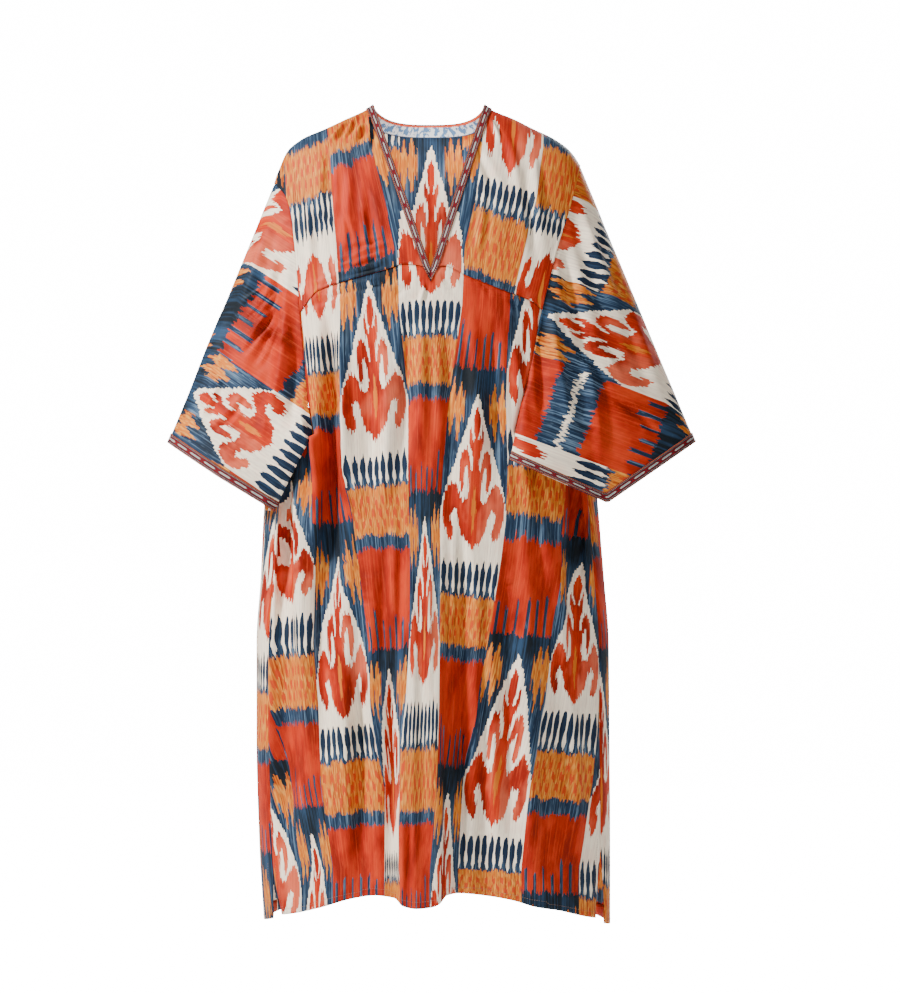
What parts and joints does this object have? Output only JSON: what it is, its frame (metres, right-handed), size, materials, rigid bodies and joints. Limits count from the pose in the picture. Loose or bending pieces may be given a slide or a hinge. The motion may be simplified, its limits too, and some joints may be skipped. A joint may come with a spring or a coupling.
{
  "type": "caftan",
  "caption": "Loose calf-length caftan in ikat cloth with wide sleeves, a deep V neck and woven ribbon at neck and cuffs.",
  "frame": {"origin": "on the centre line between the two shoulder neck points, level with them, where the caftan is worn from", "axes": "front toward -Y, up +Z, the wearer's right sleeve toward -X"},
  "size_m": [0.7645, 0.2766, 1.1863],
  "materials": {
    "ikat": "soft sheen",
    "ribbon": "matt woven",
    "neck_band": "matt"
  },
  "bodies": {
    "root": {"front_yoke_right": "ikat", "front_yoke_left": "ikat", "front_skirt": "ikat", "back": "ikat", "back_neck_band": "neck_band", "neck_trim_right": "ribbon", "neck_trim_left": "ribbon", "sleeve_right": "ikat", "sleeve_left": "ikat", "cuff_trim_right": "ribbon", "cuff_trim_left": "ribbon"}
  },
  "joints": []
}
